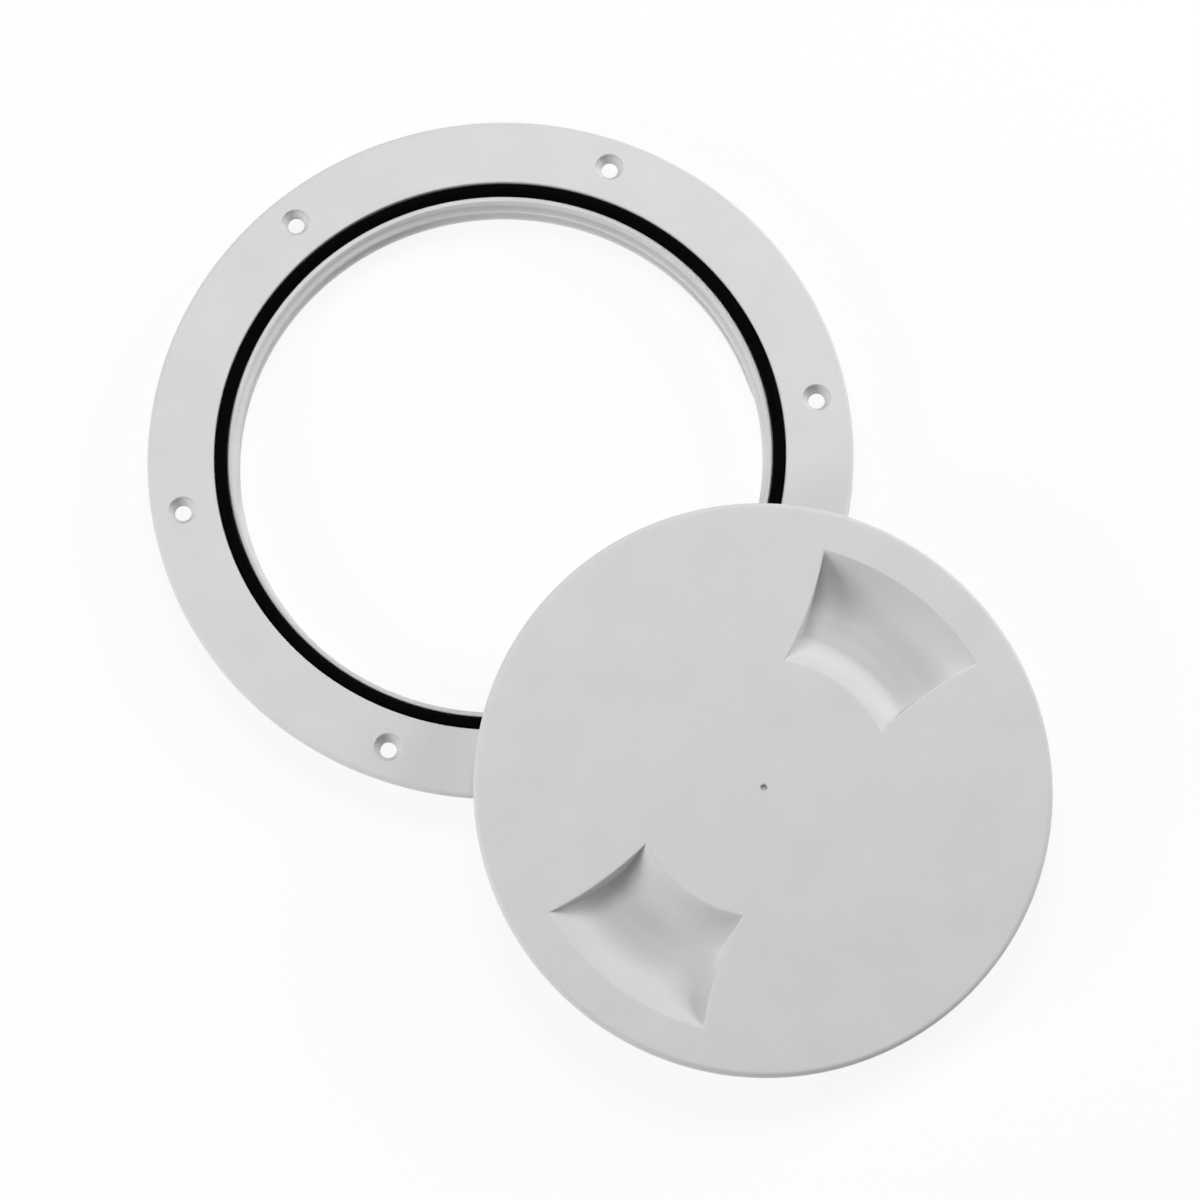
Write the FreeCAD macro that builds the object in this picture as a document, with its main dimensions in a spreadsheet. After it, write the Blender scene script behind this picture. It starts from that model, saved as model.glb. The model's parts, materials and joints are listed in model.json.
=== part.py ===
import FreeCAD, Part
import math
import os

import Sketcher
from FreeCAD import Placement, Rotation, Vector

# A screw-in deck inspection plate: a flanged ring with a threaded neck, the rubber seal that
# lies in its groove, and the lid, which is off and leans on the ring.
# Millimetres. The origin is on the ring's axis, where the flange's underside meets the deck.
# +Z is up, out of the boat, and the first screw hole is on +X.

# Driving sizes: name, value and what it is.
SIZES = {
    "flange_radius": (101.5, "outer radius of the ring's flange"),
    "flange_edge_height": (3.2, "flange thickness at its outer edge"),
    "flange_inner_height": (4.8, "flange height beside the seal"),
    "flange_edge_round": (1.4, "rounding of the flange's outer top edge"),
    "flange_inner_round": (0.5, "rounding of the flange's top edge beside the seal"),
    "flange_width": (24.7, "from the flange's outer edge in to the neck's bore"),
    "neck_wall": (3.4, "wall of the neck"),
    "neck_depth": (11.5, "how far the neck reaches below the deck"),
    "neck_edge_bevel": (0.6, "bevel on the neck's lower edges"),
    "collar_width": (2.4, "thickening of the neck right under the flange"),
    "collar_depth": (2.0, "how far that thickening reaches down"),
    "lip_width": (1.5, "thin lip that keeps the seal in its groove"),
    "lip_height": (3.4, "height of that lip above the deck"),
    "lip_round": (0.4, "rounding of the lip's top edges"),
    "seal_cord_radius": (1.75, "half the thickness of the seal's cord"),
    "seal_side_gap": (0.2, "clearance between the seal and each side of its groove"),
    "seal_floor_gap": (0.05, "clearance between the seal and the groove's floor"),
    "hole_edge_distance": (9.0, "from a screw hole's centre out to the flange's edge"),
    "hole_count": (6, "screw holes round the flange"),
    "hole_radius": (2.4, "radius of a screw hole"),
    "hole_land": (0.9, "straight part of a screw hole, under its countersink"),
    "head_radius": (4.0, "radius of the seat for a screw's head"),
    "thread_pitch": (6.0, "pitch of the coarse thread"),
    "thread_height": (1.4, "radial height of both thread ridges"),
    "thread_root_half": (1.7, "half the width of a ridge at its root"),
    "thread_crest_half": (0.9, "half the width of a ridge at its crest"),
    "thread_bite": (0.5, "how far a ridge is rooted in its wall"),
    "thread_gap": (0.4, "radial clearance of a ridge from the wall it faces"),
    "ring_thread_start": (2.5, "first ridge centre above the neck's lower edge"),
    "ring_thread_turns": (1.5, "turns of the thread in the neck"),
    "lid_thread_start": (2.2, "first ridge centre above the skirt's lower edge"),
    "lid_thread_turns": (1.25, "turns of the thread on the skirt"),
    "lid_rim_gap": (0.35, "radial clearance of the lid inside the flange"),
    "lid_plate": (3.4, "thickness of the lid's plate"),
    "lid_edge_round": (1.5, "rounding of the lid's top edge"),
    "skirt_wall": (2.8, "wall of the lid's skirt"),
    "skirt_depth": (12.5, "how far the skirt reaches below the plate"),
    "skirt_edge_round": (0.5, "rounding of the skirt's lower outer edge"),
    "skirt_root_round": (1.5, "rounding where the skirt meets the plate inside"),
    "gate_radius": (1.0, "radius of the moulding mark in the lid's centre"),
    "gate_depth": (1.3, "depth of the moulding mark"),
    "recess_count": (2, "finger recesses in the lid"),
    "recess_inner_radius": (36.5, "finger recess edge nearest the lid's centre"),
    "recess_skirt_distance": (4.4, "from the skirt's outside in to a recess's outer edge"),
    "recess_inner_half": (16.8, "half the recess's width at its inner edge"),
    "recess_outer_half": (26.9, "half the recess's width at its outer edge"),
    "recess_end_radius": (105.0, "radius of the recess's two bowed ends"),
    "recess_depth": (9.4, "depth of a recess"),
    "recess_wall": (2.4, "wall of the moulding round a recess"),
    "recess_inner_run": (10.5, "width of the sloping inner wall of a recess"),
    "recess_outer_run": (16.0, "width of the sloping outer wall of a recess"),
    "recess_inner_spread": (3.0, "gain in half width down the inner wall"),
    "recess_outer_spread": (4.4, "loss in half width down the outer wall"),
    "recess_end_run": (2.3, "width of the steep end walls of a recess"),
    "lid_offset": (23.3, "flange's edge to the middle of the leaning lid's lower edge"),
    "lean_gap": (0.15, "clearance left where the lid leans on the flange"),
    "lid_bearing": (-63.7, "direction of the leaning lid from the ring, in degrees"),
    "lid_turn": (106.9, "turn of the lid about its own axis, in degrees"),
}

# Depths at which a recess is drawn, as shares of its full depth.
RECESS_LEVELS = (0.0, 0.04, 0.15, 0.35, 0.6, 0.82, 0.95, 1.0)
BULGE_LEVELS = (0.0, 0.2, 0.45, 0.7, 0.9, 1.0)

# How a recess's walls bend: the higher, the steeper a wall starts and the softer it runs out.
INNER_WALL_BEND = 1.2
OUTER_WALL_BEND = 1.5
END_WALL_BEND = 0.5

# How finely the lean of the lid is worked out.
LEAN_STEPS = 40
LEAN_RADIAL_SAMPLES = 60
LEAN_ANGLE_SAMPLES = 360
STEEPEST_LEAN = 60.0

# A match of an edge's radius and height when it is picked for rounding.
PICK_TOLERANCE = 0.001


def amount(text):
    """Work out a sum such as 'flange_radius - 0.5 * lip_width' from the named sizes."""
    total = 0.0
    sign = 1.0
    factor = 1.0
    for word in text.split():
        if word in ("+", "-"):
            sign = 1.0 if word == "+" else -1.0
            factor = 1.0
        elif word in SIZES:
            total += sign * factor * SIZES[word][0]
        elif word != "*":
            factor = float(word)
    return total


def bound(text):
    """Turn the same kind of sum into an expression on the sheet's cells."""
    return " ".join("sheet." + word if word in SIZES else word for word in text.split())


# Places that several pieces share, as sums of named sizes.
NECK_BORE_RADIUS = "flange_radius - flange_width"
LIP_RADIUS = NECK_BORE_RADIUS + " + lip_width"
SEAT_RADIUS = LIP_RADIUS + " + 2 * seal_side_gap + 2 * seal_cord_radius"
GROOVE_FLOOR = "flange_inner_height - 2 * seal_cord_radius - seal_floor_gap"
HOLE_CIRCLE_RADIUS = "flange_radius - hole_edge_distance"
NECK_OUTER_RADIUS = NECK_BORE_RADIUS + " + neck_wall"
SKIRT_RADIUS = NECK_BORE_RADIUS + " - thread_height - thread_gap"
LID_RADIUS = SEAT_RADIUS + " - lid_rim_gap"
RECESS_OUTER_RADIUS = SKIRT_RADIUS + " - recess_skirt_distance"
ON_AXIS = "0"


def make_sheet(doc):
    """Fill the sheet with the driving sizes, one named cell each."""
    sheet = doc.addObject("Spreadsheet::Sheet", "sheet")
    for row, (alias, (value, meaning)) in enumerate(SIZES.items(), start=1):
        sheet.set(f"A{row}", alias)
        sheet.set(f"B{row}", str(value))
        sheet.set(f"C{row}", meaning)
        sheet.setAlias(f"B{row}", alias)
    doc.recompute()
    return sheet


def new_body(doc, label):
    """Add an empty body whose label becomes its file's name."""
    body = doc.addObject("PartDesign::Body", label)
    body.Label = label
    return body


def origin_of(body, role):
    """Return one of the body's own origin planes or axes."""
    for feature in body.Origin.OriginFeatures:
        if feature.Role == role:
            return feature
    raise ValueError(f"{body.Label} has no {role}")


def new_sketch(body, name, plane):
    """Add a sketch on one of the body's own origin planes."""
    sketch = body.newObject("Sketcher::SketchObject", name)
    sketch.AttachmentSupport = (origin_of(body, plane), [""])
    sketch.MapMode = "FlatFace"
    return sketch


def pin_point(sketch, geometry, point, across, up):
    """Fix a point of a sketch at two sums of named sizes, measured from the origin."""
    for kind, axis, text in (("DistanceX", -2, across), ("DistanceY", -1, up)):
        if text == ON_AXIS:
            sketch.addConstraint(Sketcher.Constraint("PointOnObject", geometry, point, axis))
            continue
        limit = Sketcher.Constraint(kind, -1, 1, geometry, point, amount(text))
        index = sketch.addConstraint(limit)
        sketch.setExpression(f"Constraints[{index}]", bound(text))


def draw_outline(sketch, corners):
    """Draw a closed outline of straight lines through corners given as named sums."""
    places = [Vector(amount_or_zero(across), amount_or_zero(up), 0) for across, up in corners]
    first = sketch.GeometryCount
    for index, start in enumerate(places):
        end = places[(index + 1) % len(places)]
        sketch.addGeometry(Part.LineSegment(start, end))
    for index, (across, up) in enumerate(corners):
        before = first + (index - 1) % len(places)
        here = first + index
        sketch.addConstraint(Sketcher.Constraint("Coincident", before, 2, here, 1))
        pin_point(sketch, here, 1, across, up)


def amount_or_zero(text):
    """Work out a coordinate that may lie on an axis."""
    return 0.0 if text == ON_AXIS else amount(text)


def revolve(body, name, corners):
    """Turn an outline in the XZ plane into a solid about the body's Z axis."""
    sketch = new_sketch(body, name + "_profile", "XZ_Plane")
    draw_outline(sketch, corners)
    turned = body.newObject("PartDesign::Revolution", name)
    turned.Profile = sketch
    turned.ReferenceAxis = (sketch, ["V_Axis"])
    turned.Angle = 360
    body.Document.recompute()
    return turned


def rim_edges(feature, radius, height):
    """List the round edges about the Z axis that have this radius and height."""
    names = []
    for index, edge in enumerate(feature.Shape.Edges, start=1):
        curve = edge.Curve
        if not isinstance(curve, Part.Circle):
            continue
        centred = math.hypot(curve.Center.x, curve.Center.y) < PICK_TOLERANCE
        same_radius = abs(curve.Radius - radius) < PICK_TOLERANCE
        same_height = abs(curve.Center.z - height) < PICK_TOLERANCE
        if centred and same_radius and same_height:
            names.append(f"Edge{index}")
    if not names:
        raise ValueError(f"no edge of radius {radius:.2f} at height {height:.2f}")
    return names


def soften(body, kind, name, base, size, rims):
    """Round or bevel the rims of a turned solid, each given by a radius and a height."""
    feature = body.newObject("PartDesign::" + kind, name)
    edges = []
    for radius, height in rims:
        edges += rim_edges(base, amount(radius), amount_or_zero(height))
    feature.Base = (base, edges)
    feature.setExpression("Radius" if kind == "Fillet" else "Size", bound(size))
    body.Document.recompute()
    return feature


def repeat_round(body, name, original, count):
    """Repeat a feature evenly round the body's Z axis."""
    pattern = body.newObject("PartDesign::PolarPattern", name)
    pattern.Originals = [original]
    pattern.Axis = (origin_of(body, "Z_Axis"), [""])
    pattern.Angle = 360
    pattern.setExpression("Occurrences", bound(count))
    body.Tip = pattern
    body.Document.recompute()
    return pattern


def add_ridge(body, name, root, crest, centre, turns):
    """Wind one coarse right-hand ridge round the body's Z axis."""
    sketch = new_sketch(body, name + "_profile", "XZ_Plane")
    draw_outline(sketch, [
        (root, centre + " - thread_root_half"),
        (root, centre + " + thread_root_half"),
        (crest, centre + " + thread_crest_half"),
        (crest, centre + " - thread_crest_half"),
    ])
    ridge = body.newObject("PartDesign::AdditiveHelix", name)
    ridge.Profile = sketch
    ridge.ReferenceAxis = (sketch, ["V_Axis"])
    ridge.Mode = "pitch-turns-angle"
    ridge.setExpression("Pitch", bound("thread_pitch"))
    ridge.setExpression("Turns", bound(turns))
    ridge.Angle = 0
    body.Document.recompute()
    return ridge


def make_ring(doc):
    """Flanged ring: flange, seal groove, countersunk screw holes and threaded neck."""
    body = new_body(doc, "ring")
    blank = revolve(body, "ring_blank", [
        (NECK_BORE_RADIUS, "- neck_depth"),
        (NECK_OUTER_RADIUS, "- neck_depth"),
        (NECK_OUTER_RADIUS, "- collar_depth"),
        (NECK_OUTER_RADIUS + " + collar_width", ON_AXIS),
        ("flange_radius", ON_AXIS),
        ("flange_radius", "flange_edge_height"),
        (SEAT_RADIUS, "flange_inner_height"),
        (SEAT_RADIUS, GROOVE_FLOOR),
        (LIP_RADIUS, GROOVE_FLOOR),
        (LIP_RADIUS, "lip_height"),
        (NECK_BORE_RADIUS, "lip_height"),
    ])
    outer = soften(body, "Fillet", "ring_outer_round", blank, "flange_edge_round", [
        ("flange_radius", "flange_edge_height"),
    ])
    inner = soften(body, "Fillet", "ring_inner_round", outer, "flange_inner_round", [
        (SEAT_RADIUS, "flange_inner_height"),
    ])
    lip = soften(body, "Fillet", "ring_lip_round", inner, "lip_round", [
        (LIP_RADIUS, "lip_height"),
        (NECK_BORE_RADIUS, "lip_height"),
    ])
    soften(body, "Chamfer", "ring_neck_bevel", lip, "neck_edge_bevel", [
        (NECK_BORE_RADIUS, "- neck_depth"),
        (NECK_OUTER_RADIUS, "- neck_depth"),
    ])
    hole = cut_screw_hole(body)
    repeat_round(body, "screw_holes", hole, "hole_count")
    ridge = add_ridge(body, "neck_thread",
                      NECK_BORE_RADIUS + " + thread_bite",
                      NECK_BORE_RADIUS + " - thread_height",
                      "- neck_depth + ring_thread_start",
                      "ring_thread_turns")
    body.Tip = ridge
    return body


def cut_screw_hole(body):
    """Cut the first screw hole, on +X: bore, 90 degree countersink and straight head seat."""
    sketch = new_sketch(body, "screw_hole_profile", "XZ_Plane")
    low = "- flange_edge_height"
    top = "hole_land + head_radius + flange_inner_height"
    draw_outline(sketch, [
        (HOLE_CIRCLE_RADIUS, low),
        (HOLE_CIRCLE_RADIUS + " + hole_radius", low),
        (HOLE_CIRCLE_RADIUS + " + hole_radius", "hole_land"),
        (HOLE_CIRCLE_RADIUS + " + head_radius", "hole_land + head_radius - hole_radius"),
        (HOLE_CIRCLE_RADIUS + " + head_radius", top),
        (HOLE_CIRCLE_RADIUS, top),
    ])
    axis_start = Vector(amount(HOLE_CIRCLE_RADIUS), amount(low), 0)
    axis_end = Vector(amount(HOLE_CIRCLE_RADIUS), amount(top), 0)
    axis = sketch.addGeometry(Part.LineSegment(axis_start, axis_end), True)
    pin_point(sketch, axis, 1, HOLE_CIRCLE_RADIUS, low)
    pin_point(sketch, axis, 2, HOLE_CIRCLE_RADIUS, top)
    hole = body.newObject("PartDesign::Groove", "screw_hole")
    hole.Profile = sketch
    hole.ReferenceAxis = (sketch, ["Axis0"])
    hole.Angle = 360
    body.Document.recompute()
    return hole


def make_seal(doc):
    """Rubber cord ring that lies in the groove, its top level with the flange."""
    seal = doc.addObject("Part::Torus", "seal")
    seal.Label = "seal"
    middle = LIP_RADIUS + " + seal_side_gap + seal_cord_radius"
    seal.setExpression("Radius1", bound(middle))
    seal.setExpression("Radius2", bound("seal_cord_radius"))
    seal.setExpression("Placement.Base.z", bound("flange_inner_height - seal_cord_radius"))
    return seal


def soft_share(depth_share, bend):
    """Share of a soft wall's width reached at a share of the recess's depth."""
    return (math.acos(1.0 - 2.0 * depth_share) / math.pi) ** bend


def steep_share(depth_share, bend):
    """Share of a steep wall's width reached at a share of the recess's depth."""
    return (1.0 - math.sqrt(1.0 - depth_share * depth_share)) ** bend


def draw_recess_level(body, name, depth_share, grow, drop):
    """Draw a recess's outline at one depth: two arcs about the lid's axis and two bowed ends.

    grow widens the outline on every side and drop lowers it, both as named sums or empty.
    """
    inward = f"{soft_share(depth_share, INNER_WALL_BEND):.5f}"
    outward = f"{soft_share(depth_share, OUTER_WALL_BEND):.5f}"
    endward = f"{steep_share(depth_share, END_WALL_BEND):.5f}"
    inner = f"recess_inner_radius + {inward} * recess_inner_run" + grow.replace("+", "-")
    outer = RECESS_OUTER_RADIUS + f" - {outward} * recess_outer_run" + grow
    inner_half = (f"recess_inner_half + {inward} * recess_inner_spread"
                  f" - {endward} * recess_end_run" + grow)
    outer_half = (f"recess_outer_half - {outward} * recess_outer_spread"
                  f" - {endward} * recess_end_run" + grow)
    height = f"lid_plate - {depth_share:.5f} * recess_depth" + drop

    sketch = new_sketch(body, name, "XY_Plane")
    sketch.setExpression("AttachmentOffset.Base.z", bound(height))
    add_arc_about_origin(sketch, inner, inner_half)
    add_arc_about_origin(sketch, outer, outer_half)
    add_bowed_end(sketch, 0, 2, 1, 2)
    add_bowed_end(sketch, 1, 1, 0, 1)
    return sketch


def add_arc_about_origin(sketch, radius, half_width):
    """Add an arc about the origin that crosses +X, with its ends half_width to each side."""
    reach = amount(radius)
    half_angle = math.asin(amount(half_width) / reach)
    circle = Part.Circle(Vector(0, 0, 0), Vector(0, 0, 1), reach)
    arc = sketch.addGeometry(Part.ArcOfCircle(circle, -half_angle, half_angle))
    sketch.addConstraint(Sketcher.Constraint("Coincident", arc, 3, -1, 1))
    index = sketch.addConstraint(Sketcher.Constraint("Radius", arc, reach))
    sketch.setExpression(f"Constraints[{index}]", bound(radius))
    for point, sign in ((1, -1), (2, 1)):
        value = sign * amount(half_width)
        index = sketch.addConstraint(Sketcher.Constraint("DistanceY", -1, 1, arc, point, value))
        expression = bound(half_width)
        sketch.setExpression(f"Constraints[{index}]", expression if sign > 0 else f"-({expression})")


def add_bowed_end(sketch, first_arc, first_point, second_arc, second_point):
    """Join two arcs by an end that bows into the recess."""
    start = sketch.getPoint(first_arc, first_point)
    end = sketch.getPoint(second_arc, second_point)
    radius = amount("recess_end_radius")
    chord = end - start
    side = Vector(-chord.y, chord.x, 0).normalize()
    bow = radius - math.sqrt(radius * radius - chord.Length ** 2 / 4)
    middle = (start + end) * 0.5 - side * bow
    arc = sketch.addGeometry(Part.Arc(start, middle, end))
    pair = [(arc, 1), (arc, 2)]
    if (sketch.getPoint(arc, 1) - start).Length > bow:
        pair.reverse()
    for (end_arc, end_point), (arc_index, arc_point) in zip(
            pair, ((first_arc, first_point), (second_arc, second_point))):
        sketch.addConstraint(
            Sketcher.Constraint("Coincident", end_arc, end_point, arc_index, arc_point))
    index = sketch.addConstraint(Sketcher.Constraint("Radius", arc, radius))
    sketch.setExpression(f"Constraints[{index}]", bound("recess_end_radius"))


def loft_recess(body, name, kind, levels, grow, drop):
    """Loft one recess, or the moulding under it, through its outlines from the top down."""
    sketches = []
    if drop:
        sketches.append(draw_recess_level(body, name + "_top", levels[0], grow, ""))
    for index, level in enumerate(levels):
        sketches.append(draw_recess_level(body, f"{name}_level_{index}", level, grow, drop))
    body.Document.recompute()
    loft = body.newObject("PartDesign::" + kind, name)
    loft.Profile = sketches[0]
    loft.Sections = sketches[1:]
    loft.Ruled = bool(drop)
    body.Document.recompute()
    return loft


def make_lid(doc, sheet):
    """Screw-in lid: plate, skirt with its thread, and two finger recesses."""
    body = new_body(doc, "lid")
    skirt_inner = SKIRT_RADIUS + " - skirt_wall"
    blank = revolve(body, "lid_blank", [
        (ON_AXIS, ON_AXIS),
        (skirt_inner, ON_AXIS),
        (skirt_inner, "- skirt_depth"),
        (SKIRT_RADIUS, "- skirt_depth"),
        (SKIRT_RADIUS, ON_AXIS),
        (LID_RADIUS, ON_AXIS),
        (LID_RADIUS, "lid_plate"),
        ("gate_radius", "lid_plate"),
        ("gate_radius", "lid_plate - gate_depth"),
        (ON_AXIS, "lid_plate - gate_depth"),
    ])
    top = soften(body, "Fillet", "lid_top_round", blank, "lid_edge_round", [
        (LID_RADIUS, "lid_plate"),
    ])
    root = soften(body, "Fillet", "lid_root_round", top, "skirt_root_round", [
        (skirt_inner, ON_AXIS),
    ])
    soften(body, "Fillet", "lid_skirt_round", root, "skirt_edge_round", [
        (SKIRT_RADIUS, "- skirt_depth"),
    ])
    bulge = loft_recess(body, "recess_bulge", "AdditiveLoft", BULGE_LEVELS,
                        " + recess_wall", " - recess_wall")
    repeat_round(body, "recess_bulges", bulge, "recess_count")
    recess = loft_recess(body, "recess", "SubtractiveLoft", RECESS_LEVELS, "", "")
    repeat_round(body, "recesses", recess, "recess_count")
    ridge = add_ridge(body, "skirt_thread",
                      SKIRT_RADIUS + " - thread_bite",
                      SKIRT_RADIUS + " + thread_height",
                      "- skirt_depth + lid_thread_start",
                      "lid_thread_turns")
    body.Tip = ridge
    body.Placement = leaning_placement(sheet)
    return body


def flange_height(radius):
    """Height of the ring's top surface at a distance from its axis, or None off the ring."""
    outer = amount("flange_radius")
    seat = amount(SEAT_RADIUS)
    if not amount(NECK_BORE_RADIUS) <= radius <= outer:
        return None
    edge = amount("flange_edge_height")
    rise = amount("flange_inner_height") - edge
    slope = rise / (outer - seat)
    if radius < seat:
        return amount("flange_inner_height")
    edge_round = amount("flange_edge_round")
    into_round = radius - (outer - edge_round)
    if into_round <= 0:
        return edge + slope * (outer - radius)
    start = edge + slope * edge_round
    return start - edge_round + math.sqrt(edge_round ** 2 - into_round ** 2)


def lid_underside(radius, angle):
    """Depth of the lid's underside below its plate at a place on the lid."""
    skirt = amount(SKIRT_RADIUS)
    if skirt - amount("skirt_wall") <= radius <= skirt - amount("skirt_edge_round"):
        return amount("skirt_depth")
    across = abs(radius * math.sin(angle))
    wall = amount("recess_wall")
    in_reach = (amount("recess_inner_radius") - wall <= radius
                <= amount(RECESS_OUTER_RADIUS) + wall)
    if in_reach and across <= amount("recess_outer_half") + wall:
        return amount("recess_depth") + wall - amount("lid_plate")
    return 0.0


def lean_clearance(lean, samples):
    """Smallest height of the lid's underside above the flange at a lean in radians."""
    contact = amount(SKIRT_RADIUS) - amount("skirt_edge_round")
    rise = math.sin(lean)
    run = math.cos(lean)
    smallest = math.inf
    for along, side, above_edge in samples:
        x = amount("flange_radius + lid_offset") + along * run + above_edge * rise
        height = flange_height(math.hypot(x, side))
        if height is None:
            continue
        z = -amount("neck_depth") + (contact - along) * rise + above_edge * run
        smallest = min(smallest, z - height)
    return smallest


def lean_samples():
    """Places on the lid's underside: along the lean, to its side and above its lower edge."""
    samples = []
    for step in range(1, LEAN_RADIAL_SAMPLES + 1):
        radius = amount(LID_RADIUS) * step / LEAN_RADIAL_SAMPLES
        samples += lean_ring(radius)
    samples += lean_ring(amount(SKIRT_RADIUS) - amount("skirt_edge_round"))
    samples += lean_ring(amount(SKIRT_RADIUS) - amount("skirt_wall"))
    return samples


def lean_ring(radius):
    """Places on one circle of the lid's underside."""
    places = []
    for step in range(LEAN_ANGLE_SAMPLES):
        angle = math.radians(360.0 * step / LEAN_ANGLE_SAMPLES)
        depth = lid_underside(radius, angle - math.radians(amount("lid_turn")))
        above_edge = amount("skirt_depth") - depth
        places.append((radius * math.cos(angle), radius * math.sin(angle), above_edge))
    return places


def lean_angle():
    """Lean in radians at which the lid's far edge stands beside the ring and it rests on it."""
    samples = lean_samples()
    low = 0.0
    high = math.radians(STEEPEST_LEAN)
    for _ in range(LEAN_STEPS):
        middle = (low + high) / 2
        if lean_clearance(middle, samples) < amount("lean_gap"):
            low = middle
        else:
            high = middle
    return high


def leaning_placement(sheet):
    """Place the lid off the ring: one edge on the flange, the other on what the ring stands on."""
    lean = lean_angle()
    contact = amount(SKIRT_RADIUS) - amount("skirt_edge_round")
    reach = sheet.flange_radius + sheet.lid_offset
    along = reach + math.sin(lean) * sheet.skirt_depth
    height = -sheet.neck_depth + contact * math.sin(lean) + math.cos(lean) * sheet.skirt_depth
    bearing = Rotation(Vector(0, 0, 1), sheet.lid_bearing)
    tilt = Rotation(Vector(0, 1, 0), math.degrees(lean))
    turn = Rotation(Vector(0, 0, 1), sheet.lid_turn)
    middle = bearing.multVec(Vector(along, 0, height))
    print(f"lean of the lid: {math.degrees(lean):.2f} degrees")
    return Placement(middle, bearing * tilt * turn)


def check_document(doc, pieces):
    """Stop if any object failed to build or a piece isn't one valid solid."""
    for thing in doc.Objects:
        if "Invalid" in thing.State or "Error" in thing.State:
            raise RuntimeError(f"{thing.Label} did not build: {thing.State}")
    for piece in pieces:
        if piece.Shape.isNull() or not piece.Shape.isValid():
            raise RuntimeError(f"{piece.Label} has no valid shape")
        if len(piece.Shape.Solids) != 1:
            raise RuntimeError(f"{piece.Label} is {len(piece.Shape.Solids)} solids")


def main():
    """Build the pieces, check them and write one file for each."""
    doc = FreeCAD.newDocument("deck_inspection_plate")
    sheet = make_sheet(doc)
    pieces = [make_ring(doc), make_seal(doc), make_lid(doc, sheet)]
    doc.recompute()
    check_document(doc, pieces)
    os.makedirs("parts", exist_ok=True)
    for piece in pieces:
        piece.Shape.exportStep(f"parts/{piece.Label}.step")
        print(f"{piece.Label}: {piece.Shape.Volume / 1000:.2f} cubic centimetres")


main()
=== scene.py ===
import json
import logging
import math
from collections.abc import Callable, Sequence
from dataclasses import dataclass
from enum import Enum

import bmesh
import bpy
import numpy as np
from mathutils import Matrix, Vector


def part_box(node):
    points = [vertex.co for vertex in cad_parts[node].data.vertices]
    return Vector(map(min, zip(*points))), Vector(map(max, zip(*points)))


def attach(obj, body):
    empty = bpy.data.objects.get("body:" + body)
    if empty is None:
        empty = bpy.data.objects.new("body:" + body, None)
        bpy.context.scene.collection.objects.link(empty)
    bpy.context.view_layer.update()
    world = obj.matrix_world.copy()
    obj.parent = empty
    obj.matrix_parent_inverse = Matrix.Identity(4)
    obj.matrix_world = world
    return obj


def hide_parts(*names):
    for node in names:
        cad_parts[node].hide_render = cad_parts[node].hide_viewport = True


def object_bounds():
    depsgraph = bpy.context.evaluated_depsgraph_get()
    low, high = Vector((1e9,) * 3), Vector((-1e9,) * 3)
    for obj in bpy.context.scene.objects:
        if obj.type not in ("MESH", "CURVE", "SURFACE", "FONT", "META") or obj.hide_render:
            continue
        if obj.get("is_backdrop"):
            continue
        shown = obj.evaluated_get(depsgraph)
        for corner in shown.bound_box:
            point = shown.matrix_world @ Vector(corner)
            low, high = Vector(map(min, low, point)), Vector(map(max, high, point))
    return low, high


# Looks of a screw-in deck inspection plate: the flanged ring, the rubber seal in its groove and
# the lid, which leans on the ring. Sections are drawn in millimetres and meshes are in metres.
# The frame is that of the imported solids: +Z is up out of the deck, +X is the first screw hole.

MM = 0.001
BODY = "root"
SHARP_EDGE = math.radians(32.0)
MERGE_DISTANCE = 0.002
NORMAL_WEIGHT = 80
LEAD_START = 0.15

log = logging.getLogger("deck_plate")
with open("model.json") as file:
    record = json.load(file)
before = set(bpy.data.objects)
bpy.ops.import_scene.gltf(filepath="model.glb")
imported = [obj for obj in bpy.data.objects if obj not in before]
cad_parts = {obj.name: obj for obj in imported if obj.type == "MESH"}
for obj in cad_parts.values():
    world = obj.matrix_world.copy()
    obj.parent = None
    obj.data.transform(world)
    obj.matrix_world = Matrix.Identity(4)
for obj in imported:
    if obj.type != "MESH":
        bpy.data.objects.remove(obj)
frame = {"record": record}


def linear(hex_colour: str) -> tuple[float, float, float, float]:
    """Turn an sRGB colour such as "#d2d4d6" into linear red, green, blue and alpha.

    Args:
        hex_colour: Six hex digits after a hash sign.

    Returns:
        The linear colour, with an alpha of 1.
    """
    shares = [int(hex_colour[place:place + 2], 16) / 255 for place in (1, 3, 5)]
    parts = [s / 12.92 if s <= 0.04045 else ((s + 0.055) / 1.055) ** 2.4 for s in shares]
    return parts[0], parts[1], parts[2], 1.0


def add_node(tree: bpy.types.NodeTree, kind: str, settings: dict | None = None,
             inputs: dict | None = None) -> bpy.types.Node:
    """Add a node to a tree, set it up and link it.

    Args:
        tree: The tree that gets the node.
        kind: The node's type name in Blender.
        settings: Properties of the node and their values.
        inputs: Values or output sockets for its inputs, by name or by place.

    Returns:
        The new node.
    """
    node = tree.nodes.new(kind)
    for name, value in (settings or {}).items():
        setattr(node, name, value)
    for key, value in (inputs or {}).items():
        if isinstance(value, bpy.types.NodeSocket):
            tree.links.new(value, node.inputs[key])
        else:
            node.inputs[key].default_value = value
    return node


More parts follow.
